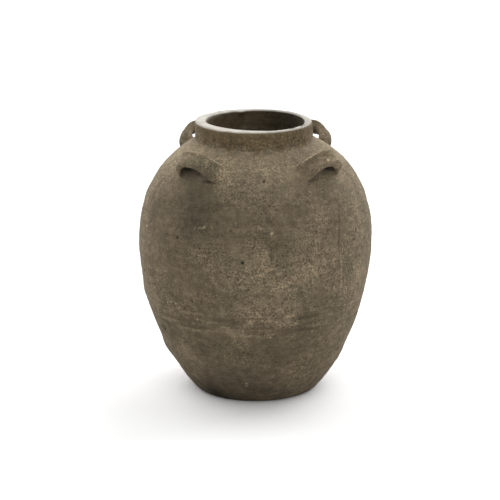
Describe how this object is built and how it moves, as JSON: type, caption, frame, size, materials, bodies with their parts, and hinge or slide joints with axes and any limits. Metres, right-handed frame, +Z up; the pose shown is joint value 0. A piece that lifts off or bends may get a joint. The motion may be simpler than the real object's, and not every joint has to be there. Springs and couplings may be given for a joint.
{
  "type": "terracotta vase",
  "caption": "Wide-bellied unglazed terracotta vase with a short flat-lipped neck and strap lugs standing on its shoulder.",
  "frame": {"origin": "centre of the flat foot, on the surface that the vase stands on", "axes": "+Z up along the vase's axis; the front is -Y, midway between the two front lugs; +X to the right seen from the front"},
  "size_m": [0.3, 0.3, 0.352],
  "materials": {
    "clay_body": "matte",
    "clay_neck": "matte",
    "clay_lip": "matte",
    "clay_lugs": "matte"
  },
  "bodies": {
    "root": {"base_slab": "clay_body", "foot_wall": "clay_body", "lower_wall": "clay_body", "under_belly_wall": "clay_body", "belly_wall": "clay_body", "over_belly_wall": "clay_body", "shoulder_wall": "clay_body", "lug_seat_wall": "clay_body", "neck_collar": "clay_neck", "lip_ring": "clay_lip", "lug_front_left": "clay_lugs", "lug_front_right": "clay_lugs", "lug_back_left": "clay_lugs", "lug_back_right": "clay_lugs"}
  },
  "joints": []
}
